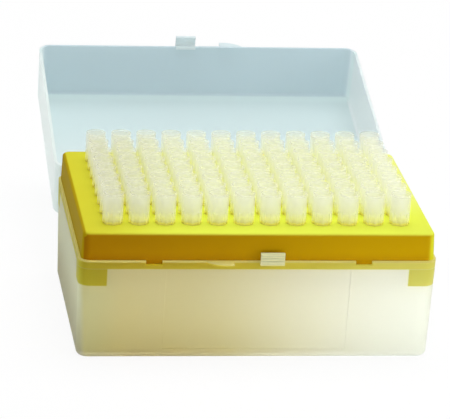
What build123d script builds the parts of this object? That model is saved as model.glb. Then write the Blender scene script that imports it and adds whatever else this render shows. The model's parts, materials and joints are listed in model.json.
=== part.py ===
from build123d import *
import os
from math import cos, radians, sin

# Hinged box of pipette tips: a moulded base, a tip rack that stands on the base's rim, ninety-six
# tips hanging in the rack, and a lid on two rear hinges, thrown back against its stop.
# Millimetres, +Z up. Origin at the centre of the base's underside; the front faces -Y.

# ---- tips: thin cones with a collar, eight ribs under it and an open mouth
tip_length = 50.5
tip_collar_diameter = 7.0
tip_collar_height = 6.2
tip_rib_height = 4.5  # the ribs' lower ends sit on the rack's deck
tip_rib_width = 0.8
tip_rib_count = 8
tip_neck_diameter = 6.0  # at the ribs and through the deck
tip_neck_drop = 8.0  # from the deck down to the waist
tip_waist_diameter = 5.2
tip_shank_height = 16.0  # from the tip's end up to the slender cone's top
tip_shank_diameter = 2.6
tip_end_diameter = 1.1
tip_end_bore = 0.5
tip_mouth_bore = 6.0
tip_wall = 0.4  # at the deck and below it
tip_mouth_chamfer = 0.2
tip_tooth_overlap = 0.1  # ribs run this far into the collar and the neck

# ---- rack: deck, drafted wall, skirt inside the base's rim and four corner legs
grid_pitch = 9.0
grid_columns = 12
grid_rows = 8
grid_margin = 12.0  # from the outer tips' axes to the outside of the base's rim
rack_rise = 9.6  # deck above the base's rim
rack_deck_thickness = 1.8
rack_wall = 1.2
rack_wall_draft = 0.4  # how far the wall leans in between rim and deck
rack_edge_radius = 1.0
rack_skirt_depth = 3.0
rack_leg_depth = 9.3
rack_leg_width = 8.3

# ---- base: drafted tray
base_height = 36.5
base_side_lean = 0.6  # how far each end wall leans in between rim and foot
base_front_lean = 2.8  # the same for the front and rear walls
base_wall = 1.2
base_floor = 1.2
base_corner_radius = 4.0
base_edge_radius = 2.0
notch_pitches = 8  # grid pitches between the two finger notches in the front rim
notch_width = 5.7
notch_depth = 1.5
panel_width = 63.4  # shallow front panel
panel_depth = 0.25
panel_margin = 3.5

# ---- lid: drafted cap that stands on the base's rim outside the rack
lid_wall = 1.0
lid_draft = 0.4
lid_edge_radius = 2.0

# ---- hinges
hinge_spacing = 68.0
hinge_offset = 2.8  # axis behind the base's rear face
hinge_rise = 0.5  # axis above the rim
hinge_open_angle = 167.0
pin_diameter = 3.0
ear_thickness = 2.0
ear_radius = 2.0
ear_reach = 5.0  # length of the raked stop face
ear_foot = 10.0  # how far down the wall an ear runs
ear_shoulder_drop = 0.8  # an ear's level top edge, below the rim
clip_width = 9.0
clip_radius = 2.5
clip_slot = 2.5  # snap opening in the clip's ring
clip_slot_angle = -60.0  # its direction with the lid closed, from +Y towards +Z

# ---- latch: a tab on the lid, a catch on the base, and a thumb lip beside each of them
tab_width = 7.6
tab_reach = 3.4  # how far the tab hangs below the base's rim
tab_root = 1.2  # height of the ledge that carries the tab
catch_width = 8.2
catch_reach = 3.5  # how far the catch stands above the base's rim
catch_root = 0.9  # height of its root on the base
tab_thickness = 1.0  # of both
tab_stand_off = 0.75  # gap between their inner faces and the lid's wall
nose_height = 0.6
nose_depth = 0.3
lip_width = 8.8
lip_reach = 3.0
lip_swell_offset = 5.5  # a point on the lip's curved edge, from its full-reach end
lip_swell_reach = 2.2
lip_thickness = 1.0
catch_rib_count = 3
catch_rib_depth = 0.25

# ---- clearances
rim_overlap = 0.4  # how far the rack's wall stands on the base's rim
skirt_clearance = 0.2
hole_clearance = 0.2
tip_headroom = 0.5  # tips to the closed lid's panel
lid_clearance = 0.3  # lid's walls to the rack's wall
lid_rest_gap = 0.15  # closed lid to the base's rim
pin_clearance = 0.05
clip_side_gap = 0.3
stop_gap = 0.1  # opened lid's rear wall to the ears' raked faces
tab_side_gap = 1.15  # lid's tab to the base's catch
lip_side_gap = 0.3  # a lip to the other half's tab or catch
overlap = 0.4  # how far a joined feature runs into its carrier

# ---- worked out from the above
base_rim_length = (grid_columns - 1) * grid_pitch + 2 * grid_margin
base_rim_depth = (grid_rows - 1) * grid_pitch + 2 * grid_margin
base_foot_length = base_rim_length - 2 * base_side_lean
base_foot_depth = base_rim_depth - 2 * base_front_lean
rim_z = base_height
deck_z = rim_z + rack_rise
tip_seat_height = tip_length - tip_collar_height - tip_rib_height
tip_top_z = deck_z + tip_length - tip_seat_height
lid_rim_z = rim_z + lid_rest_gap
lid_top_z = tip_top_z + tip_headroom + lid_wall
rack_step = base_wall - rim_overlap
lid_step = rack_step - lid_clearance - lid_wall
rear_face_y = base_rim_depth / 2
front_face_y = -base_rim_depth / 2
lid_rear_y = rear_face_y - lid_step
lid_front_y = front_face_y + lid_step
hinge_y = rear_face_y + hinge_offset
hinge_z = rim_z + hinge_rise
tab_inner_y = lid_front_y - tab_stand_off
tab_outer_y = tab_inner_y - tab_thickness
tab_right = -tab_side_gap
tab_left = tab_right - tab_width
notch_spacing = notch_pitches * grid_pitch


def drafted_block(z_low, inset_low, z_high, inset_high):
    """Solid between two heights, inset from the base's drafted outer faces (or their extension)."""
    sections = []
    for z, inset in ((z_low, inset_low), (z_high, inset_high)):
        share = min(z / base_height, 1.0)
        length = base_foot_length + (base_rim_length - base_foot_length) * share
        depth = base_foot_depth + (base_rim_depth - base_foot_depth) * share
        radius = base_corner_radius - inset
        outline = RectangleRounded(length - 2 * inset, depth - 2 * inset, radius)
        sections.append(Plane.XY.offset(z) * outline)
    return loft(sections)


def slab(x_low, x_high, y_low, y_high, z_low, z_high):
    """Rectangular block between two corners."""
    block = Box(x_high - x_low, y_high - y_low, z_high - z_low)
    return Pos((x_low + x_high) / 2, (y_low + y_high) / 2, (z_low + z_high) / 2) * block


def extrude_side_profile(points, width):
    """Polygon drawn in Y and Z, extruded along X about X = 0."""
    outline = make_face(Polyline(*[(0, y, z) for y, z in points], close=True))
    return extrude(outline, amount=width / 2, dir=(1, 0, 0), both=True)


def cross_rod(radius, width, y, z):
    """Cylinder along X about X = 0."""
    return Pos(0, y, z) * Rot(0, 90, 0) * Cylinder(radius, width)


def thumb_lip(inner_x, side, wall_y, z_low):
    """Flat lip that swells from nothing to its full reach towards the middle of the latch."""
    outer_x = inner_x + side * lip_width
    swell = (inner_x + side * lip_swell_offset, wall_y - lip_swell_reach)
    root_y = wall_y + overlap
    edges = [
        ThreePointArc((inner_x, wall_y - lip_reach), swell, (outer_x, wall_y)),
        Polyline((outer_x, wall_y), (outer_x, root_y), (inner_x, root_y), (inner_x, wall_y - lip_reach)),
    ]
    return Pos(0, 0, z_low) * extrude(make_face(edges), amount=lip_thickness)


def make_base():
    """Tray with rim notches, a front panel, latch parts and two pairs of hinge ears."""
    outer = drafted_block(0, 0, rim_z, 0)
    outer = fillet(outer.faces().sort_by(Axis.Z)[0].edges(), base_edge_radius)
    inner = drafted_block(base_floor, base_wall, rim_z, base_wall)
    inner = fillet(inner.faces().sort_by(Axis.Z)[0].edges(), base_edge_radius - base_wall / 2)
    base = outer - inner

    panel_band = slab(
        -panel_width / 2, panel_width / 2, front_face_y - overlap, 0, panel_margin, rim_z - panel_margin
    )
    panel_skin = drafted_block(0, 0, rim_z, 0) - drafted_block(0, panel_depth, rim_z, panel_depth)
    base -= panel_band & panel_skin

    for side in (-1, 1):
        middle = side * notch_spacing / 2
        base -= slab(
            middle - notch_width / 2,
            middle + notch_width / 2,
            front_face_y - overlap,
            front_face_y + base_wall + overlap,
            rim_z - notch_depth,
            rim_z + overlap,
        )

    base += make_catch()
    base += thumb_lip(tab_left - lip_side_gap, -1, front_face_y, rim_z - lip_thickness)
    for side in (-1, 1):
        base += Pos(side * hinge_spacing / 2, 0, 0) * make_ears()
    return base


def make_catch():
    """Upright plate in front of the rim, with a nose inside and ribs outside."""
    root_z = rim_z - catch_root
    catch_z = rim_z + catch_reach
    plate = slab(0, catch_width, tab_outer_y, tab_inner_y, root_z, catch_z)
    root = slab(0, catch_width, tab_inner_y, front_face_y + overlap, root_z, rim_z - lid_rest_gap)
    nose = slab(0, catch_width, tab_inner_y, tab_inner_y + nose_depth, catch_z - nose_height, catch_z)
    catch = plate + root + nose
    rib_pitch = (catch_reach + catch_root) / (catch_rib_count + 1)
    for number in range(catch_rib_count):
        rib_z = root_z + rib_pitch * (number + 1)
        rib = slab(
            tab_thickness / 2,
            catch_width - tab_thickness / 2,
            tab_outer_y - catch_rib_depth,
            tab_outer_y,
            rib_z,
            rib_z + rib_pitch / 2,
        )
        catch += rib
    return catch


def make_ears():
    """Pair of ears with the pin between them, about X = 0; their raked rear faces stop the lid."""
    rake = radians(180 - hinge_open_angle)
    stop_distance = hinge_y - lid_rear_y - stop_gap
    face_top = (hinge_y + stop_distance * cos(rake), hinge_z + stop_distance * sin(rake))
    face_foot = (face_top[0] + ear_reach * sin(rake), face_top[1] - ear_reach * cos(rake))
    wall_y = base_foot_depth / 2
    shoulder_z = rim_z - ear_shoulder_drop
    profile = [
        (wall_y, shoulder_z),
        (hinge_y, shoulder_z),
        (hinge_y, hinge_z),
        face_top,
        face_foot,
        (wall_y, rim_z - ear_foot),
    ]
    ear = extrude_side_profile(profile, ear_thickness)
    ear += cross_rod(ear_radius, ear_thickness, hinge_y, hinge_z)
    ear -= drafted_block(base_floor, base_wall, rim_z, base_wall)
    spread = clip_width / 2 + clip_side_gap + ear_thickness / 2
    pin = cross_rod(pin_diameter / 2, 2 * spread, hinge_y, hinge_z)
    return Pos(-spread, 0, 0) * ear + Pos(spread, 0, 0) * ear + pin


def make_rack():
    """Deck with a hole for each tip, drafted wall, skirt and corner legs, moulded in one piece."""
    skirt_inset = base_wall + skirt_clearance
    leg_z = rim_z - rack_leg_depth
    upper = drafted_block(rim_z, rack_step, deck_z, rack_step + rack_wall_draft)
    upper = fillet(upper.faces().sort_by(Axis.Z)[-1].edges(), rack_edge_radius)
    skirt = drafted_block(leg_z, skirt_inset, rim_z, skirt_inset)
    hollow_inset = skirt_inset + rack_wall
    hollow = drafted_block(leg_z, hollow_inset, rim_z, hollow_inset)
    hollow += drafted_block(rim_z, hollow_inset, deck_z - rack_deck_thickness, hollow_inset)

    window_half_x = base_rim_length / 2 - skirt_inset - rack_leg_width
    window_half_y = base_rim_depth / 2 - skirt_inset - rack_leg_width
    window_top = rim_z - rack_skirt_depth
    below = leg_z - overlap
    across = slab(-window_half_x, window_half_x, front_face_y, rear_face_y, below, window_top)
    along = slab(
        -base_rim_length / 2, base_rim_length / 2, -window_half_y, window_half_y, below, window_top
    )
    rack = upper + skirt - hollow - across - along

    hole = Cylinder(tip_neck_diameter / 2 + hole_clearance, 2 * rack_deck_thickness)
    holes = [Pos(0, 0, deck_z) * place * hole for place in GridLocations(
        grid_pitch, grid_pitch, grid_columns, grid_rows
    )]
    return rack - holes


def make_tip():
    """One tip, its end at Z = 0: a turned profile and ribs that lead down to the seat."""
    rib_top = tip_seat_height + tip_rib_height
    waist = tip_seat_height - tip_neck_drop
    mouth = tip_mouth_bore / 2
    outside = [
        (tip_end_diameter / 2, 0),
        (tip_shank_diameter / 2, tip_shank_height),
        (tip_waist_diameter / 2, waist),
        (tip_neck_diameter / 2, tip_seat_height),
        (tip_neck_diameter / 2, rib_top),
        (tip_collar_diameter / 2, rib_top),
        (tip_collar_diameter / 2, tip_length),
    ]
    inside = [
        (mouth + tip_mouth_chamfer, tip_length),
        (mouth, tip_length - tip_mouth_chamfer),
        (tip_neck_diameter / 2 - tip_wall, tip_seat_height),
        (tip_waist_diameter / 2 - tip_wall, waist),
        (tip_shank_diameter / 2 - tip_wall, tip_shank_height),
        (tip_end_bore / 2, 0),
    ]
    outline = make_face(Polyline(*[(r, 0, z) for r, z in outside + inside], close=True))
    tip = revolve(outline, Axis.Z)

    rib_depth = (tip_collar_diameter - tip_neck_diameter) / 2 + tip_tooth_overlap
    rib = Box(rib_depth, tip_rib_width, tip_rib_height + tip_tooth_overlap)
    rib_middle = tip_seat_height + (tip_rib_height + tip_tooth_overlap) / 2
    rib_radius = (tip_collar_diameter - rib_depth) / 2
    ribs = [Pos(0, 0, rib_middle) * place * rib for place in PolarLocations(rib_radius, tip_rib_count)]
    envelope = Pos(0, 0, tip_length / 2) * Cylinder(tip_collar_diameter / 2, tip_length)
    return tip + [rib & envelope for rib in ribs]


def make_tip_column(tip, number):
    """The eight tips of one column, counted from the left, as separate solids."""
    x = (number - (grid_columns + 1) / 2) * grid_pitch
    places = GridLocations(grid_pitch, grid_pitch, 1, grid_rows)
    return Compound(children=[Pos(x, 0, deck_z - tip_seat_height) * place * tip for place in places])


def make_lid():
    """Cap with its latch parts and hinge clips, closed on the base."""
    top_inset = lid_step + lid_draft
    outer = drafted_block(lid_rim_z, lid_step, lid_top_z, top_inset)
    outer = fillet(outer.faces().sort_by(Axis.Z)[-1].edges(), lid_edge_radius)
    inner = drafted_block(lid_rim_z, lid_step + lid_wall, lid_top_z - lid_wall, top_inset + lid_wall)
    inner = fillet(inner.faces().sort_by(Axis.Z)[-1].edges(), lid_edge_radius - lid_wall)
    lid = outer - inner
    lid += make_lid_tab()
    lid += thumb_lip(catch_width + lip_side_gap, 1, lid_front_y, lid_rim_z)
    for side in (-1, 1):
        lid = add_clip(lid, side * hinge_spacing / 2)
    return lid


def make_lid_tab():
    """Tab that hangs from a ledge over the base's front, and the bead that the catch snaps over."""
    foot_z = rim_z - tab_reach
    ledge_z = lid_rim_z + tab_root
    ledge = slab(tab_left, tab_right, tab_inner_y, lid_front_y + overlap, lid_rim_z, ledge_z)
    plate = slab(tab_left, tab_right, tab_outer_y, tab_inner_y, foot_z, ledge_z)
    nose = slab(
        tab_left, tab_right, tab_inner_y, tab_inner_y + nose_depth, foot_z, foot_z + nose_height
    )
    bead = slab(0, catch_width, lid_front_y - nose_depth, lid_front_y + overlap, lid_rim_z, ledge_z)
    return ledge + plate + nose + bead


def add_clip(lid, x):
    """Snap ring on an arm from the lid's rear wall, bored to run on the base's pin."""
    arm = slab(
        -clip_width / 2, clip_width / 2, lid_rear_y - overlap, hinge_y, lid_rim_z, hinge_z + clip_radius
    )
    ring = cross_rod(clip_radius, clip_width, hinge_y, hinge_z)
    bore = cross_rod(pin_diameter / 2 + pin_clearance, clip_width, hinge_y, hinge_z)
    slot = Pos(0, clip_radius, 0) * Box(clip_width, 2 * clip_radius, clip_slot)
    slot = Pos(0, hinge_y, hinge_z) * Rot(clip_slot_angle, 0, 0) * slot
    return lid + Pos(x, 0, 0) * (arm + ring) - Pos(x, 0, 0) * (bore + slot)


def main():
    hinge_axis = Axis((0, hinge_y, hinge_z), (1, 0, 0))
    nodes = {
        "base": make_base(),
        "rack": make_rack(),
        "lid": make_lid().rotate(hinge_axis, -hinge_open_angle),
    }
    tip = make_tip()
    for number in range(1, grid_columns + 1):
        nodes[f"tips_column_{number:02d}"] = make_tip_column(tip, number)
    os.makedirs("parts", exist_ok=True)
    for name, shape in nodes.items():
        export_step(shape, f"parts/{name}.step")


main()
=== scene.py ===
import json
import math
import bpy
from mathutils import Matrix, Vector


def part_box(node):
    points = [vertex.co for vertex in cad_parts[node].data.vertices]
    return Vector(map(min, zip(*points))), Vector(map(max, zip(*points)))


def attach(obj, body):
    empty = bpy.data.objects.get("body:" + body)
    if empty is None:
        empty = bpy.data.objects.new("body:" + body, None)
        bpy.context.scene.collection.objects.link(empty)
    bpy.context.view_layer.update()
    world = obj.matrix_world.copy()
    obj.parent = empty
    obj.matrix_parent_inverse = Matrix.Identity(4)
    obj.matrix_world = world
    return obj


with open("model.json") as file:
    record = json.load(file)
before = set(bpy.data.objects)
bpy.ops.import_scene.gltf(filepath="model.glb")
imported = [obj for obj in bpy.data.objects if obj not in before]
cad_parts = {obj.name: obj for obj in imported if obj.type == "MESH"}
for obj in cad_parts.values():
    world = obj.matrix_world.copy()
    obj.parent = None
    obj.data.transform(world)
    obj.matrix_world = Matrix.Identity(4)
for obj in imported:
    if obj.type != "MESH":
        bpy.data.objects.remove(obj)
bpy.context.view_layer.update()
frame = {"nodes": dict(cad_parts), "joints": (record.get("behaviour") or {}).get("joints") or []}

from types import SimpleNamespace

import bpy
import numpy as np
from bpy.props import FloatProperty, FloatVectorProperty, IntProperty, PointerProperty
from mathutils import Matrix, Vector

bl_info = {
    "name": "Box of pipette tips",
    "version": (1, 0, 0),
    "blender": (4, 5, 0),
    "location": "View3D > Sidebar > Tip Box",
    "description": "Finishes for a hinged box of pipette tips, tip mouth lips and a studio stage",
    "category": "Object",
}

MILLIMETRE = 0.001
TIP_COLUMNS = sorted(name for name in frame["nodes"] if name.startswith("tips_column_"))
TIPS_IN_COLUMN = 8
TIP_TOP_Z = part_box(TIP_COLUMNS[0])[1].z
DECK_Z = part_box("rack")[1].z
RIM_Z = 36.5 * MILLIMETRE  # the base's rim, where the rack's wall stands and the lid closes
RIM_Y = 43.5 * MILLIMETRE  # half the base's depth at the rim
LIP_X = -14.0 * MILLIMETRE  # about the middle of the base's thumb lip
TAB_LEFT = -8.75 * MILLIMETRE  # the lid's tab, seen from the front
TAB_RIGHT = -1.15 * MILLIMETRE
LEFT_END_SLOPE = 0.055  # how much further out the left end's colour begins for each step up

MOUTH_LIP_POINTS = 8  # round the section of a mouth's lip
EDGE_SAMPLES = 4
GRAIN_DEPTH = 0.03 * MILLIMETRE
SWIRL_DEPTH = 0.08 * MILLIMETRE

# How far clouds and grain sway the roughness of a moulding, and how strongly its grain stands out.
FROSTED = {"grain_size": 0.6 * MILLIMETRE, "cloud_sway": 0.06, "grain_sway": 0.04, "relief": 0.5}
SATIN = {"grain_size": 0.5 * MILLIMETRE, "cloud_sway": 0.1, "grain_sway": 0.1, "relief": 0.6}

POLYPROPYLENE_IOR = 1.49
THIN_WALL_IOR = 1.2  # low, so that what lies behind a thin wall is seen nearly straight
SATIN_IOR = 1.12  # low, because a fine grain shines weakly
MILKY_GLOW = 0.35  # share of light that a milky wall passes on scattered

# Blender's colour sockets on a Mix node, which share their names with its number and vector sockets.
MIX_FIRST = 6
MIX_SECOND = 7
MIX_RESULT = 2


# ---------------------------------------------------------------- node arithmetic


class Wire:
    """A socket in one material's node tree. Arithmetic on wires adds Math nodes."""

    def __init__(self, tree, socket=None):
        self.tree = tree
        self.socket = socket

    def node(self, kind, settings=None, sockets=None, output=0):
        """Any node: its type, its settings, then the values or links of its sockets."""
        made = self.tree.nodes.new(kind)
        for name, value in (settings or {}).items():
            setattr(made, name, value)
        for name, value in (sockets or {}).items():
            socket = made.inputs[name]
            if isinstance(value, Wire):
                self.tree.links.new(value.socket, socket)
            else:
                socket.default_value = (*value[:3], 1.0) if socket.type == "RGBA" else value
        return Wire(self.tree, made.outputs[output] if made.outputs else None)

    def math(self, operation, *values):
        """A Math node on these values, which are wires or numbers."""
        return self.node("ShaderNodeMath", {"operation": operation}, dict(enumerate(values)))

    def __add__(self, other):
        return self.math("ADD", self, other)

    def __radd__(self, other):
        return self.math("ADD", other, self)

    def __sub__(self, other):
        return self.math("SUBTRACT", self, other)

    def __rsub__(self, other):
        return self.math("SUBTRACT", other, self)

    def __mul__(self, other):
        return self.math("MULTIPLY", self, other)

    def __rmul__(self, other):
        return self.math("MULTIPLY", other, self)

    def __truediv__(self, other):
        return self.math("DIVIDE", self, other)

    def __rtruediv__(self, other):
        return self.math("DIVIDE", other, self)

    def __neg__(self):
        return self.math("SUBTRACT", 0.0, self)

    def __abs__(self):
        return self.math("ABSOLUTE", self)


def larger(first, second):
    """The larger of two wires."""
    return first.math("MAXIMUM", first, second)


def sine(angle):
    """The sine of a wire in radians."""
    return angle.math("SINE", angle)


def ease(value, low, high):
    """0 below low, 1 above high and a smooth step between."""
    return value.node(
        "ShaderNodeMapRange",
        {"interpolation_type": "SMOOTHSTEP"},
        {"Value": value, "From Min": low, "From Max": high},
    )


def ease_mm(value, start, end, origin=0.0):
    """A smooth step from 0 to 1 between two places given in millimetres past an origin."""
    return ease(value, origin + start * MILLIMETRE, origin + end * MILLIMETRE)


def new_tree(name):
    """A material with an empty node tree, and a bare wire that adds nodes to it."""
    material = bpy.data.materials.new(name)
    material.use_nodes = True
    material.node_tree.nodes.clear()
    return material, Wire(material.node_tree)


def finish_surface(tree, shader):
    """The material's output, with this shader on its surface."""
    tree.node("ShaderNodeOutputMaterial", None, {"Surface": shader})


def position(tree):
    """Object coordinates in metres, as a vector wire."""
    return tree.node("ShaderNodeTexCoord", output="Object")


def parts_of(vector):
    """The X, Y and Z of a vector wire."""
    return [vector.node("ShaderNodeSeparateXYZ", None, {0: vector}, axis) for axis in "XYZ"]


def noise(place, size, detail=2.0, roughness=0.5, stretch=(1.0, 1.0, 1.0)):
    """Noise from 0 to 1 with lumps about size metres across, times stretch along each axis."""
    scales = [1.0 / (size * along_axis) for along_axis in stretch]
    scaled = place.node("ShaderNodeMapping", None, {"Vector": place, "Scale": scales})
    return place.node(
        "ShaderNodeTexNoise",
        {"noise_dimensions": "3D"},
        {"Vector": scaled, "Scale": 1.0, "Detail": detail, "Roughness": roughness},
    )


def blend_colour(factor, first, second, mode="MIX"):
    """Two colours, where the factor's wire is 0 for the first and 1 for their mix in that mode."""
    return factor.node(
        "ShaderNodeMix",
        {"data_type": "RGBA", "blend_type": mode, "clamp_result": False},
        {"Factor": factor, MIX_FIRST: first, MIX_SECOND: second},
        MIX_RESULT,
    )


def blend_shader(tree, factor, first, second):
    """Two shaders, where factor is 0 for the first and 1 for the second."""
    return tree.node("ShaderNodeMixShader", None, {0: factor, 1: first, 2: second})


def bump(height, distance, strength, normal=None):
    """Normals that follow a height wire, on top of other normals if there are any."""
    sockets = {"Height": height, "Distance": distance, "Strength": strength}
    if normal is not None:
        sockets["Normal"] = normal
    return height.node("ShaderNodeBump", None, sockets)


def moulded_surface(look, place, clouds, grain_size, cloud_sway, grain_sway, relief):
    """Roughness and normals of a grained moulding whose edges are rounded."""
    grain = noise(place, grain_size, roughness=0.6)
    roughness = look.roughness + (clouds - 0.5) * cloud_sway + (grain - 0.5) * grain_sway
    rounded = place.node("ShaderNodeBevel", {"samples": EDGE_SAMPLES}, {"Radius": look.edge_radius})
    return roughness, bump(grain, GRAIN_DEPTH, relief, rounded)


# ---------------------------------------------------------------- materials


def moulding_shader(tree, colour, roughness, normal, settings, glow_through):
    """One plastic: a Principled shader with its settings, and a share that passes light on scattered."""
    sockets = {"Base Color": colour, "Roughness": roughness, "Normal": normal, **settings}
    front = tree.node("ShaderNodeBsdfPrincipled", None, sockets)
    through = tree.node("ShaderNodeBsdfTranslucent", None, {"Color": colour, "Normal": normal})
    return blend_shader(tree, glow_through, front, through)


def frosted_shader(tree, look, colour, milky_colour, milkiness, surface):
    """Clear frosted wall that turns milky where milkiness is 1."""
    clear = {
        "IOR": THIN_WALL_IOR,
        "Transmission Weight": look.clearness,
        "Coat Weight": look.gloss,
        "Coat Roughness": look.gloss_roughness,
    }
    thin = moulding_shader(tree, colour, *surface, clear, look.glow_through)
    thick = moulding_shader(tree, milky_colour, *surface, {"IOR": POLYPROPYLENE_IOR}, MILKY_GLOW)
    return blend_shader(tree, milkiness, thin, thick)


def make_frosted_base(look):
    """Frosted natural polypropylene, warm from the rack inside, milky at its rim and its fittings."""
    material, tree = new_tree("frosted_polypropylene_base")
    place = position(tree)
    x, y, z = parts_of(place)
    clouds = noise(place, 30.0 * MILLIMETRE, detail=3.0, roughness=0.55, stretch=(1.0, 1.0, 2.5))
    on = base_masks(look, x, y, z)
    colour = base_wall_colour(look, x, clouds, on)
    milky_colour = base_milky_colour(look, z, colour, on)
    surface = moulded_surface(look, place, clouds, **FROSTED)
    milkiness = base_milkiness(look, x, on)
    finish_surface(tree, frosted_shader(tree, look, colour, milky_colour, milkiness, surface))
    return material


def base_masks(look, x, y, z):
    """Where each finish, painted shade and painted highlight of the base lies, as wires that are 1 there
    and 0 elsewhere.
    """
    left = 1.0 - ease_mm(x, -40.0, 40.0)
    skirt = ease_mm(z, -3.2, -2.8, RIM_Z)
    corners = ease_mm(abs(x), 51.6, 52.0) * ease_mm(abs(y), 33.6, 34.0)
    legs = ease_mm(z, -9.5, -9.1, RIM_Z) * corners * (1.0 - skirt)
    outside = ease_mm(abs(y), 0.05, 0.3, RIM_Y)
    thumb_lip = 1.0 - ease_mm(abs(x - LIP_X), 5.5, 6.5)
    return SimpleNamespace(
        near_left_end=ease_mm(-x, 44.0, 59.0),
        left_end=ease_mm(-x, 57.8, 59.8, z * LEFT_END_SLOPE),
        # Painted shade towards the foot of the left half, and along its lower edge.
        foot=left * (1.0 - ease_mm(z, 0.0, 30.0)),
        foot_edge=left * (1.0 - ease_mm(z, 1.5, 4.0)),
        legs=legs,
        touch=larger(skirt, legs),
        rim=ease_mm(z, -0.7, -0.35, RIM_Z),
        fitting=outside * (1.0 - thumb_lip * look.lip_clearness),
    )


def base_wall_colour(look, x, clouds, on):
    """The wall's colour: painted light paler to the right, painted shade at the left, and tinted where the
    rack's skirt and legs touch it.
    """
    # Painted light and shade: the tan left half, also warm from the rack behind it, fades to a right half
    # washed pale by light from the right.
    colour = blend_colour(ease_mm(x, -50.0, 60.0), look.left_colour, look.lit_right_colour)
    colour = blend_colour(on.near_left_end, colour, look.near_end_colour, "MULTIPLY")
    colour = blend_colour(on.left_end, colour, look.end_colour)
    # Painted shade: the left half, and its left end more, darker towards the foot.
    colour = blend_colour(on.foot, colour, look.foot_shade_colour, "MULTIPLY")
    colour = blend_colour(on.foot * on.left_end, colour, look.end_foot_shade_colour, "MULTIPLY")
    colour = blend_colour(clouds * look.cloudiness, colour, look.cloud_colour)
    touch_colour = blend_colour(ease_mm(x, 0.0, 60.0), look.left_touch_colour, look.touch_colour)
    colour = blend_colour(on.touch, colour, touch_colour, "MULTIPLY")
    colour = blend_colour(on.legs, colour, look.leg_colour, "MULTIPLY")
    # Painted highlight: the rim's top edge, lit from above, in a bright cream yellow.
    return blend_colour(on.rim, colour, look.lit_rim_colour)


def base_milky_colour(look, z, colour, on):
    """The wall's colour where it is milky, and the fittings' own, with fine level lines on them."""
    colour = blend_colour(on.touch, colour, look.milky_touch_colour, "MULTIPLY")
    # Painted shade along the left half's milky lower edge, where it meets the floor.
    colour = blend_colour(on.foot_edge, colour, look.foot_edge_shade_colour, "MULTIPLY")
    lines = ease(sine(z * (2.0 * math.pi / look.grip_pitch)), -0.3, 0.3)
    return blend_colour(on.fitting, colour, blend_colour(lines, look.fitting_colour, look.grip_colour))


def base_milkiness(look, x, on):
    """How milky the base is: more to the right, at the foot's edge, the rim and the fittings."""
    rise = look.right_milkiness - look.left_milkiness
    milkiness = look.left_milkiness + ease_mm(x, -30.0, 55.0) * rise
    milkiness = larger(milkiness, on.foot_edge * look.foot_milkiness)
    milkiness = larger(milkiness, on.rim * look.rim_milkiness)
    return larger(milkiness, on.fitting * look.milkiness)


def make_frosted_lid(look):
    """Frosted natural polypropylene, cooler than the base over nothing but the table."""
    material, tree = new_tree("frosted_polypropylene_lid")
    place = position(tree)
    x, y, z = parts_of(closed_lid_place(place))
    clouds = noise(place, 35.0 * MILLIMETRE, detail=3.0, roughness=0.55, stretch=(2.0, 1.0, 1.0))
    colour = lid_colour(look, x, y, z, clouds)
    surface = moulded_surface(look, place, clouds, **FROSTED)
    milkiness = ease_mm(abs(y), 0.6, 0.8, RIM_Y) * look.milkiness
    finish_surface(tree, frosted_shader(tree, look, colour, look.fitting_colour, milkiness, surface))
    return material


def closed_lid_place(place):
    """Object coordinates of the opened lid turned back to where they are with the lid closed."""
    hinge = frame["joints"][0]
    return place.node(
        "ShaderNodeVectorRotate",
        {"rotation_type": "AXIS_ANGLE"},
        {
            "Vector": place,
            "Center": hinge["pos_m"],
            "Axis": hinge["axis"],
            "Angle": math.radians(hinge["range_deg"][1]),
        },
    )


def lid_colour(look, x, y, z, clouds):
    """The lid's colour on its panel, its walls and the edge under its tab, from its closed place, with
    painted light and shade on the panel and walls.
    """
    # Painted light: the panel is lighter towards the hinges, over the shade between the leaning lid and
    # the floor.
    colour = blend_colour(ease_mm(y, -20.0, 40.0), look.sheet_colour, look.lit_rear_colour)
    # Painted light: the left and right walls are painted lighter, as lit from the sides.
    for side, side_colour in ((x, look.lit_right_colour), (-x, look.left_colour)):
        colour = blend_colour(ease_mm(side, 59.5, 60.5), colour, side_colour)
    front = 1.0 - ease_mm(y, 1.0, 3.0, -RIM_Y)
    # Painted light on the panel beside the tab's wall, over the shade in the corner where they meet.
    corner = (1.0 - front) * (1.0 - ease_mm(y, 2.5, 8.0, -RIM_Y))
    colour = blend_colour(corner, colour, look.lit_corner_colour)
    # Painted shade: the wall that carries the tab faces downwards, away from the light.
    colour = blend_colour(front, colour, look.front_shade_colour, "MULTIPLY")
    colour = blend_colour(clouds * look.cloudiness, colour, look.cloud_colour, "MULTIPLY")
    along_tab = ease_mm(x, -0.2, 0.2, TAB_LEFT) * ease_mm(-x, -0.2, 0.2, -TAB_RIGHT)
    at_edge = ease_mm(z, -0.2, 0.0, RIM_Z) * (1.0 - ease_mm(z, 0.9, 1.2, RIM_Z))
    return blend_colour(front * along_tab * at_edge, colour, look.tab_root_colour)


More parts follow.
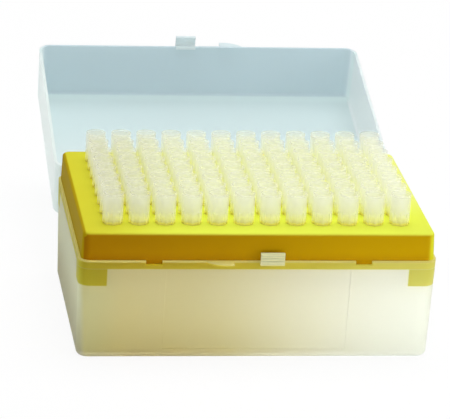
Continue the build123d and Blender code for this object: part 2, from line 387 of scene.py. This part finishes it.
def make_yellow_rack(look):
    """Opaque yellow moulding, satin with fine grain: one yellow painted as a lit lemon deck, a shaded
    deeper golden wall and a skirt in shade, all darker to the left.
    """
    material, tree = new_tree("yellow_moulding")
    place = position(tree)
    x, y, z = parts_of(place)
    clouds = noise(place, 20.0 * MILLIMETRE)
    along = ease_mm(x, -70.0, 60.0)
    wall = ease_mm(z, -2.0, -1.4, RIM_Z)
    deck = ease_mm(z, -1.0, 0.0, DECK_Z) * ease_mm(x, -59.7, -59.1)
    # Painted light and shade: deck, wall and skirt are lit and shaded copies of one yellow, each darker to
    # the left, away from the light.
    colour = blend_colour(along, look.skirt_left_shade_colour, look.skirt_colour)
    colour = blend_colour(wall, colour, rack_wall_colour(look, x, z, along))
    colour = blend_colour(deck, colour, rack_deck_colour(look, x, y))
    colour = blend_colour(clouds * look.shade, colour, look.shade_colour)
    roughness, normal = moulded_surface(look, place, clouds, **SATIN)
    sockets = {"Base Color": colour, "Roughness": roughness, "Normal": normal}
    sockets.update({"IOR": SATIN_IOR, "Specular IOR Level": look.shine})
    finish_surface(tree, tree.node("ShaderNodeBsdfPrincipled", None, sockets))
    return material


def rack_wall_colour(look, x, z, along):
    """Golden front wall, with painted shade just above the base's rim and at its left, and its two ends
    painted lit at the right and shaded at the left.
    """
    # Painted shade towards the wall's left.
    colour = blend_colour(along, look.wall_left_shade_colour, look.wall_colour)
    # Painted shade just above the base's rim and at the wall's left corner.
    low = 1.0 - ease_mm(z, 0.0, 3.0, RIM_Z)
    deep = larger(low, ease_mm(-x, 57.4, 59.2))
    colour = blend_colour(deep, colour, look.deep_shade_colour, "MULTIPLY")
    # Painted light on the right end; the left end below is painted in shade.
    colour = blend_colour(ease_mm(x, 58.0, 59.5), colour, look.lit_right_end_colour)
    # The upper edge is rounded, so the left end begins further in there.
    inset = ease_mm(z, -2.0, -1.0, DECK_Z) * (0.9 * MILLIMETRE)
    return blend_colour(ease_mm(inset - x, 59.7, 60.2), colour, look.left_end_shade_colour)


def rack_deck_colour(look, x, y):
    """Lemon deck, warmer and darker to the left as painted shade, and paler at its right rear as a painted
    sheen.
    """
    # Painted shade: the deck darkens to the left, away from the light.
    colour = blend_colour(ease_mm(x, -65.0, -20.0), look.deck_left_shade_colour, look.deck_colour)
    # Painted sheen: the deck's right rear paler, as light reflected there.
    right_rear = ease_mm(x, 48.0, 54.0) * ease_mm(y, -30.0, 10.0)
    return blend_colour(right_rear * look.sheen, colour, look.sheen_colour)


def make_natural_tips(look):
    """Thin natural polypropylene: milky and glossy above the deck, clear and slender below it."""
    material, tree = new_tree("natural_polypropylene_tips")
    place = position(tree)
    x, y, z = parts_of(place)
    on = tip_masks(z)
    colour = tip_colour(look, x, y, on)
    swirl = noise(place, 4.0 * MILLIMETRE, stretch=(1.0, 1.0, 4.0))
    roughness = look.roughness + (swirl - 0.5) * look.swirl_sway
    normal = bump(swirl, SWIRL_DEPTH, look.swirl_relief)
    opacity = tip_opacity(look, on)
    glow = opacity * look.glow_through
    # The share that glows is opaque, so alpha gives the other share the rest of the opacity.
    wall = {"IOR": POLYPROPYLENE_IOR, "Alpha": (opacity - glow) / (1.0 - glow)}
    finish_surface(tree, moulding_shader(tree, colour, roughness, normal, wall, glow))
    return material


def tip_masks(z):
    """Where each finish of a tip lies, and the painted shade at its seat, as wires that are 1 there and 0
    elsewhere.
    """
    return SimpleNamespace(
        above_deck=ease_mm(z, -11.2, -10.6, TIP_TOP_Z),
        seat=1.0 - ease_mm(z, -10.4, -9.2, TIP_TOP_Z),
        collar=ease_mm(z, -9.0, -6.0, TIP_TOP_Z),
        mouth=ease_mm(z, -0.8, -0.3, TIP_TOP_Z),
    )


def tip_colour(look, x, y, on):
    """Pale collars with painted shade towards the front and the left, over yellower necks and ribs' ends
    with painted shade where they sit in the deck.
    """
    colour = blend_colour(on.collar, look.neck_colour, look.collar_colour)
    # Painted shade on the collars of the front rows and the left columns.
    outer = ease_mm(-x, 15.0, 50.0) + ease_mm(-y, 24.0, 32.0)
    colour = blend_colour(outer * on.collar * look.front_share, colour, look.front_shade_colour, "MULTIPLY")
    # Painted shade at each tip's foot: the ribs' ends sit in the deck, amber for the deck's yellow and the
    # shade of its holes seen through the wall.
    colour = blend_colour(on.seat * look.seat_share, colour, look.seat_colour)
    return blend_colour(on.above_deck, look.cone_colour, colour)


def tip_opacity(look, on):
    """Share of light that a tip's wall stops or scatters: most at the ribs' ends, least in the cone."""
    opacity = 1.0 - look.cone_clearness + on.above_deck * (look.cone_clearness - look.clearness)
    opacity = opacity * (1.0 - on.mouth * look.mouth_clearness)
    milky = larger(on.seat * look.seat_milkiness, (1.0 - on.collar) * look.neck_milkiness)
    return opacity + milky * on.above_deck * (1.0 - opacity)


# ---------------------------------------------------------------- surfaces


def tip_axes(node):
    """The x and y of a column's tips, evenly spaced between its ends, and the radius of their collars."""
    low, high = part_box(node)
    radius = (high.x - low.x) / 2
    x = np.full(TIPS_IN_COLUMN, (low.x + high.x) / 2)
    y = np.linspace(low.y + radius, high.y - radius, TIPS_IN_COLUMN)
    return np.column_stack([x, y]), radius


def mouth_lip_profile(collar_radius, width, rise):
    """Oval section of a mouth's lip, inside the collar's edge: width across, and from half its width
    under the mouth to its rise above, as radius r + w/2 cos a and height m + h sin a."""
    angles = np.arange(MOUTH_LIP_POINTS) * 2 * np.pi / MOUTH_LIP_POINTS
    radius = collar_radius - width / 2 + width / 2 * np.cos(angles)
    middle = (rise - width / 2) / 2
    half_height = (rise + width / 2) / 2
    return radius, middle + half_height * np.sin(angles)


def ring_surface(centres, profile_radius, profile_height, turns, top):
    """Closed rings about upright axes: a closed profile of radius and height values is turned about
    each centre in equal steps, so point (i, j) is centre + (r_j cos a_i, r_j sin a_i, top + h_j)."""
    steps = len(profile_radius)
    angles = np.arange(turns) * 2 * np.pi / turns
    ring = np.empty((turns, steps, 3))
    ring[:, :, 0] = np.cos(angles)[:, None] * profile_radius
    ring[:, :, 1] = np.sin(angles)[:, None] * profile_radius
    ring[:, :, 2] = top + profile_height
    i, j = np.meshgrid(np.arange(turns), np.arange(steps), indexing="ij")
    i_next, j_next = (i + 1) % turns, (j + 1) % steps
    quads = np.stack(
        [i * steps + j, i_next * steps + j, i_next * steps + j_next, i * steps + j_next], axis=-1
    ).reshape(-1, 4)
    points = ring.reshape(-1, 3)
    offsets = np.column_stack([centres, np.zeros(len(centres))])
    all_points = (offsets[:, None, :] + points[None, :, :]).reshape(-1, 3)
    all_quads = (np.arange(len(centres))[:, None, None] * len(points) + quads).reshape(-1, 4)
    return all_points, all_quads


def mesh_piece(name, points, quads, material):
    """A smooth mesh object at the origin, from point and quad arrays."""
    mesh = bpy.data.meshes.new(name)
    mesh.from_pydata(points.tolist(), [], quads.tolist())
    mesh.polygons.foreach_set("use_smooth", [True] * len(mesh.polygons))
    mesh.update()
    piece = bpy.data.objects.new(name, mesh)
    bpy.context.scene.collection.objects.link(piece)
    piece.data.materials.append(material)
    return piece


def dress(node, material):
    """Gives a CAD node one material in its object's slots."""
    piece = frame["nodes"][node]
    if not piece.data.materials:
        piece.data.materials.append(material)
    for slot in piece.material_slots:
        slot.link = "OBJECT"
        slot.material = material


# ---------------------------------------------------------------- settings


def colour_property(name, description, default):
    """A colour that a user may change."""
    return FloatVectorProperty(
        name=name, description=description, default=default, size=3, min=0.0, max=1.0, subtype="COLOR"
    )


def share_property(name, description, default):
    """A share from 0 to 1."""
    return FloatProperty(
        name=name, description=description, default=default, min=0.0, max=1.0, subtype="FACTOR"
    )


def length_property(name, description, default):
    """A length, which is never negative."""
    return FloatProperty(
        name=name, description=description, default=default, min=0.0, unit="LENGTH", precision=5
    )


def distance_property(name, description, default):
    """A distance, which may be negative."""
    return FloatProperty(name=name, description=description, default=default, unit="LENGTH")


def angle_property(name, description, degrees):
    """An angle whose default is given in degrees."""
    return FloatProperty(
        name=name, description=description, default=math.radians(degrees), subtype="ANGLE"
    )


class BaseLook(bpy.types.PropertyGroup):
    # Left and right paint shade and light across the base, the foot tints paint shade and the rim colour
    # paints a highlight.
    left_colour: colour_property("Left", "Colour of the base's left half", (0.86, 0.80, 0.465))
    lit_right_colour: colour_property("Right", "Colour of the base's right half", (0.94, 0.965, 0.90))
    near_end_colour: colour_property("Near end", "Tint of the walls near the left end", (0.91, 0.96, 1.0))
    end_colour: colour_property("Left end", "Colour of the left end wall", (0.93, 1.0, 0.95))
    end_foot_shade_colour: colour_property("End foot", "Further tint of that wall's foot", (0.70, 0.67, 0.64))
    foot_shade_colour: colour_property("Foot", "Tint of the left half towards its foot", (0.93, 0.91, 0.78))
    foot_edge_shade_colour: colour_property("Foot edge", "Tint of its milky lower edge", (0.80, 0.76, 0.66))
    touch_colour: colour_property("Touch", "Tint where the rack touches it, right", (1.0, 0.96, 0.30))
    left_touch_colour: colour_property("Left touch", "The same in the left half", (0.99, 0.93, 0.12))
    leg_colour: colour_property("Legs", "Further tint at the rack's corner legs", (0.94, 0.95, 0.95))
    milky_touch_colour: colour_property("Milky touch", "Further tint where milky", (0.80, 0.78, 0.55))
    lit_rim_colour: colour_property("Rim", "Colour of the rim's edge", (1.0, 0.93, 0.42))
    cloud_colour: colour_property("Clouds", "Colour of the faint flow clouds", (0.95, 0.94, 0.88))
    cloudiness: share_property("Cloudiness", "How strong the flow clouds are", 0.35)
    fitting_colour: colour_property("Fittings", "Colour of the catch and the ears", (0.84, 0.84, 0.56))
    grip_colour: colour_property("Grip lines", "Colour of the lines across them", (0.70, 0.73, 0.50))
    grip_pitch: length_property("Grip pitch", "Distance between those lines", 0.00095)
    milkiness: share_property("Milkiness", "How milky the fittings are", 0.4)
    lip_clearness: share_property("Thumb lip", "How much clearer the thumb lip is than they are", 0.8)
    left_milkiness: share_property("Milky left", "How milky the wall is at its left end", 0.22)
    right_milkiness: share_property("Milky right", "How milky the wall is at its right end", 0.5)
    foot_milkiness: share_property("Milky foot", "How milky the lower edge's left half is", 0.6)
    rim_milkiness: share_property("Milky rim", "How milky the rim's edge is", 0.85)
    clearness: share_property("Clearness", "Share of light that passes through the wall", 0.85)
    glow_through: share_property("Glow", "Share of light that the wall passes on scattered", 0.5)
    gloss: share_property("Gloss", "Strength of the satin shine", 0.15)
    gloss_roughness: share_property("Gloss roughness", "How blurred that shine is", 0.3)
    roughness: share_property("Roughness", "How frosted the wall is", 0.5)
    edge_radius: length_property("Edge radius", "Rounding of the moulding's edges", 0.00025)


class LidLook(bpy.types.PropertyGroup):
    sheet_colour: colour_property("Sheet", "Colour of the lid's panel", (0.748, 0.854, 0.858))
    lit_rear_colour: colour_property("Rear", "Colour of the panel near the hinges", (0.84, 0.90, 0.90))
    lit_corner_colour: colour_property("Corner", "Colour beside the tab's wall", (0.85, 0.97, 0.96))
    left_colour: colour_property("Left", "Colour of the lid's left wall", (0.94, 1.0, 0.98))
    lit_right_colour: colour_property("Right", "Colour of the lid's right wall", (0.95, 1.0, 1.0))
    front_shade_colour: colour_property("Front", "Tint of the wall that carries the tab", (0.92, 0.945, 0.99))
    tab_root_colour: colour_property("Tab root", "Colour of that wall's edge at the tab", (0.94, 1.0, 1.0))
    cloud_colour: colour_property("Clouds", "Tint of the faint flow clouds", (0.94, 0.95, 0.95))
    cloudiness: share_property("Cloudiness", "How strong the flow clouds are", 0.35)
    fitting_colour: colour_property("Fittings", "Colour of tab, lip and hinge clips", (0.86, 0.92, 0.92))
    milkiness: share_property("Milkiness", "How milky those fittings are", 0.6)
    clearness: share_property("Clearness", "Share of light that passes through the wall", 0.5)
    glow_through: share_property("Glow", "Share of light that the wall passes on scattered", 0.25)
    gloss: share_property("Gloss", "Strength of the satin shine", 1.0)
    gloss_roughness: share_property("Gloss roughness", "How blurred that shine is", 0.3)
    roughness: share_property("Roughness", "How frosted the wall is", 0.36)
    edge_radius: length_property("Edge radius", "Rounding of the moulding's edges", 0.00025)


class RackLook(bpy.types.PropertyGroup):
    deck_colour: colour_property("Deck", "Colour of the deck's right end", (0.71, 0.80, 0.08))
    deck_left_shade_colour: colour_property("Deck left", "Colour of the deck's left end", (0.605, 0.575, 0.03))
    wall_colour: colour_property("Wall", "Colour of the front wall's right end", (0.47, 0.285, 0.0))
    wall_left_shade_colour: colour_property("Wall left", "Colour of the wall's left end", (0.315, 0.147, 0.0))
    deep_shade_colour: colour_property("Deep", "Tint above the base's rim and at the left", (0.91, 0.81, 0.6))
    lit_right_end_colour: colour_property("Right end", "Colour of the right end wall", (0.60, 0.60, 0.02))
    left_end_shade_colour: colour_property("Left end", "Colour of the left end wall", (0.40, 0.285, 0.0))
    skirt_colour: colour_property("Skirt", "Colour of the skirt and legs, right end", (0.58, 0.56, 0.0))
    skirt_left_shade_colour: colour_property("Skirt left", "The same at the left end", (0.42, 0.35, 0.0))
    sheen_colour: colour_property("Sheen", "Colour of the deck's paler right rear", (0.86, 0.88, 0.40))
    sheen: share_property("Sheen share", "How strong the paler right rear is", 0.5)
    shade_colour: colour_property("Shade", "Colour of the deeper patches", (0.52, 0.30, 0.005))
    shade: share_property("Shade share", "How strong the deeper patches are", 0.15)
    shine: share_property("Shine", "Strength of the satin shine", 0.3)
    roughness: share_property("Roughness", "How satin the moulding is", 0.65)
    edge_radius: length_property("Edge radius", "Rounding of the moulding's edges", 0.0003)


class TipLook(bpy.types.PropertyGroup):
    collar_colour: colour_property("Collar", "Colour of the tips' collars", (0.97, 0.98, 0.91))
    front_shade_colour: colour_property("Front", "Tint of the front and the left tips", (0.89, 0.89, 0.83))
    front_share: share_property("Front share", "How much a row or a column takes of that tint", 0.5)
    neck_colour: colour_property("Neck", "Colour of the tips below the collar", (0.98, 0.99, 0.65))
    seat_colour: colour_property("Seat", "Colour of the ribs' ends on the deck", (0.99, 0.92, 0.18))
    seat_share: share_property("Seat share", "How strong the colour of the ribs' ends is", 0.8)
    cone_colour: colour_property("Cone", "Colour of the cones under the deck", (0.95, 0.95, 0.86))
    clearness: share_property("Clearness", "Share of light straight through a collar's wall", 0.62)
    cone_clearness: share_property("Cone clearness", "The same for the cone under the deck", 0.8)
    mouth_clearness: share_property("Mouth", "How much clearer the lip of a mouth is", 0.45)
    seat_milkiness: share_property("Seat milkiness", "How much milkier the ribs' ends are", 0.6)
    neck_milkiness: share_property("Neck milkiness", "The same below the collar", 0.25)
    glow_through: share_property("Glow", "Share of light that a tip's wall passes on scattered", 0.6)
    roughness: share_property("Roughness", "How matt the tips are", 0.22)
    swirl_sway: share_property("Swirl", "How far the plastic's swirls sway the roughness", 0.1)
    swirl_relief: share_property("Swirl relief", "How strongly the swirls stand out", 0.4)
    lip_width: length_property("Lip width", "Width of the rounded lip round each mouth", 0.0004)
    lip_rise: length_property("Lip rise", "How far the lip stands above the collar", 0.0002)
    lip_sides: IntProperty(name="Lip sides", description="Faces around each lip", default=28, min=8)


class StageLook(bpy.types.PropertyGroup):
    floor_size: length_property("Floor size", "Side of the square floor", 12.0)
    floor_colour: colour_property("Floor", "Colour of the floor", (0.90, 0.90, 0.90))
    speckle: share_property("Speckle", "How much darker the floor's faint speckle is", 0.02)
    floor_glow: share_property("Floor glow", "How evenly white the floor looks to the camera", 0.91)
    sky_strength: share_property("Sky strength", "Light from all round", 0.45)
    distance: distance_property("Distance", "Camera to the rim's centre", 1.135)
    azimuth: angle_property("Azimuth", "Camera's turn about the box", -8.66)
    elevation: angle_property("Elevation", "Camera's height angle", 19.82)
    roll: angle_property("Roll", "Camera's tilt to one side", 3.20)
    lens: FloatProperty(name="Lens", description="Focal length in millimetres", default=258.3)
    aside: distance_property("Aside", "Camera's place to the right", -0.00615)
    above: distance_property("Above", "Camera's place upwards", 0.00265)


# ---------------------------------------------------------------- operators


class TIPBOX_OT_base(bpy.types.Operator):
    """Finish the frosted base"""

    bl_idname = "tipbox.base"
    bl_label = "Base"

    def execute(self, context):
        dress("base", make_frosted_base(context.scene.tipbox_base))
        return {"FINISHED"}


class TIPBOX_OT_lid(bpy.types.Operator):
    """Finish the frosted lid"""

    bl_idname = "tipbox.lid"
    bl_label = "Lid"

    def execute(self, context):
        dress("lid", make_frosted_lid(context.scene.tipbox_lid))
        return {"FINISHED"}


class TIPBOX_OT_rack(bpy.types.Operator):
    """Finish the yellow rack"""

    bl_idname = "tipbox.rack"
    bl_label = "Rack"

    def execute(self, context):
        dress("rack", make_yellow_rack(context.scene.tipbox_rack))
        return {"FINISHED"}


class TIPBOX_OT_tips(bpy.types.Operator):
    """Finish the tips and round the lips of their mouths"""

    bl_idname = "tipbox.tips"
    bl_label = "Tips"

    def execute(self, context):
        look = context.scene.tipbox_tips
        material = make_natural_tips(look)
        for node in TIP_COLUMNS:
            dress(node, material)
            axes, collar_radius = tip_axes(node)
            profile = mouth_lip_profile(collar_radius, look.lip_width, look.lip_rise)
            points, quads = ring_surface(axes, *profile, look.lip_sides, TIP_TOP_Z)
            lips = mesh_piece(node.replace("tips", "mouth_lips"), points, quads, material)
            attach(lips, "box")
        return {"FINISHED"}


class TIPBOX_OT_stage(bpy.types.Operator):
    """Set the floor, the light and the camera"""

    bl_idname = "tipbox.stage"
    bl_label = "Stage"

    def execute(self, context):
        stage = context.scene.tipbox_stage
        make_floor(stage)
        make_sky(stage)
        add_lamp("key_lamp", (0.15, 0.2, 1.45), (0, 0, 0.03), (1.1, 1.1), 16.5)
        add_lamp("front_lamp", (0.24, -0.3, 0.03), (0.02, -0.04, 0.01), (0.14, 0.14), 0.45)
        beam = math.radians(10)
        add_lamp("low_front_lamp", (0.05, -0.34, 0.02), (0.03, -0.04, 0.02), (0.2, 0.02), 0.011, beam)
        make_camera(stage)
        return {"FINISHED"}


def make_floor(stage):
    """Large square sheet under the box, white to the eye and shaded by the box."""
    half = stage.floor_size / 2
    corners = [(-half, -half, 0), (half, -half, 0), (half, half, 0), (-half, half, 0)]
    mesh = bpy.data.meshes.new("floor")
    mesh.from_pydata(corners, [], [(0, 1, 2, 3)])
    floor = bpy.data.objects.new("floor", mesh)
    bpy.context.scene.collection.objects.link(floor)
    material, tree = new_tree("pale_floor")
    speckle = noise(position(tree), 50.0 * MILLIMETRE)
    speckle_colour = tuple(channel * (1.0 - stage.speckle) for channel in stage.floor_colour)
    colour = blend_colour(speckle, stage.floor_colour, speckle_colour)
    matt = tree.node("ShaderNodeBsdfDiffuse", None, {"Color": colour})
    glow = tree.node("ShaderNodeEmission", None, {"Color": (1, 1, 1, 1), "Strength": 1.0})
    finish_surface(tree, blend_shader(tree, seen_directly(tree) * stage.floor_glow, matt, glow))
    mesh.materials.append(material)


def seen_directly(tree):
    """1 for rays from the camera, mirrored rays and rays through the plastic."""
    rays = ("Is Camera Ray", "Is Glossy Ray", "Is Transmission Ray")
    camera, glossy, through = (tree.node("ShaderNodeLightPath", output=ray) for ray in rays)
    return larger(camera, larger(glossy, through))


def make_sky(stage):
    """White all round for the eye, and a softer white as light."""
    world = bpy.data.worlds.new("studio")
    bpy.context.scene.world = world
    world.use_nodes = True
    world.node_tree.nodes.clear()
    tree = Wire(world.node_tree)
    strength = stage.sky_strength + seen_directly(tree) * (1.0 - stage.sky_strength)
    sky = tree.node("ShaderNodeBackground", None, {"Color": (1, 1, 1, 1), "Strength": strength})
    tree.node("ShaderNodeOutputWorld", None, {"Surface": sky})


def add_lamp(name, place, target, size, power, spread=math.pi):
    """Rectangular area lamp that looks at a point; a narrow spread keeps its light in a beam."""
    data = bpy.data.lights.new(name, "AREA")
    data.shape = "RECTANGLE"
    data.size, data.size_y = size
    data.energy = power
    data.spread = spread
    lamp = bpy.data.objects.new(name, data)
    bpy.context.scene.collection.objects.link(lamp)
    lamp.location = place
    lamp.rotation_euler = (Vector(target) - Vector(place)).to_track_quat("-Z", "Y").to_euler()


def make_camera(stage):
    """Camera round the centre of the rim's plane, rolled about its own line of sight."""
    yaw, pitch, roll = stage.azimuth, stage.elevation, stage.roll
    upright = Vector((0, 0, 1))
    level_right = Vector((math.cos(yaw), math.sin(yaw), 0))
    level_forward = Vector((-math.sin(yaw), math.cos(yaw), 0))
    forward = math.cos(pitch) * level_forward - math.sin(pitch) * upright
    level_up = math.cos(pitch) * upright + math.sin(pitch) * level_forward
    right = math.cos(roll) * level_right + math.sin(roll) * level_up
    up = math.cos(roll) * level_up - math.sin(roll) * level_right
    place = RIM_Z * upright - forward * stage.distance + right * stage.aside + up * stage.above
    data = bpy.data.cameras.new("camera")
    data.sensor_width = 36.0
    data.lens = stage.lens
    data.clip_end = 20.0
    camera = bpy.data.objects.new("camera", data)
    bpy.context.scene.collection.objects.link(camera)
    turn = Matrix((right, up, -forward)).transposed().to_4x4()
    camera.matrix_world = Matrix.Translation(place) @ turn
    bpy.context.scene.camera = camera


# ---------------------------------------------------------------- panel and main

OPERATORS = (TIPBOX_OT_base, TIPBOX_OT_rack, TIPBOX_OT_tips, TIPBOX_OT_lid, TIPBOX_OT_stage)
LOOKS = {
    "tipbox_base": BaseLook,
    "tipbox_lid": LidLook,
    "tipbox_rack": RackLook,
    "tipbox_tips": TipLook,
    "tipbox_stage": StageLook,
}


class TIPBOX_PT_panel(bpy.types.Panel):
    """Steps and settings of the box of pipette tips"""

    bl_label = "Box of pipette tips"
    bl_idname = "TIPBOX_PT_panel"
    bl_space_type = "VIEW_3D"
    bl_region_type = "UI"
    bl_category = "Tip Box"

    def draw(self, context):
        for operator in OPERATORS:
            self.layout.operator(operator.bl_idname)
        for name in LOOKS:
            look = getattr(context.scene, name)
            column = self.layout.column(heading=name)
            for setting in look.__annotations__:
                column.prop(look, setting)


def register():
    for group in LOOKS.values():
        bpy.utils.register_class(group)
    for name, group in LOOKS.items():
        setattr(bpy.types.Scene, name, PointerProperty(type=group))
    for item in (*OPERATORS, TIPBOX_PT_panel):
        bpy.utils.register_class(item)


def unregister():
    for item in (TIPBOX_PT_panel, *reversed(OPERATORS)):
        bpy.utils.unregister_class(item)
    for name in LOOKS:
        delattr(bpy.types.Scene, name)
    for group in reversed(LOOKS.values()):
        bpy.utils.unregister_class(group)


def main():
    register()
    scene = bpy.context.scene
    scene.view_settings.view_transform = "Standard"
    scene.cycles.max_bounces = 24
    scene.cycles.diffuse_bounces = 12
    scene.cycles.transmission_bounces = 16
    scene.cycles.transparent_max_bounces = 24
    bpy.ops.tipbox.base()
    bpy.ops.tipbox.rack()
    bpy.ops.tipbox.tips()
    bpy.ops.tipbox.lid()
    bpy.ops.tipbox.stage()


if __name__ == "__main__":
    main()
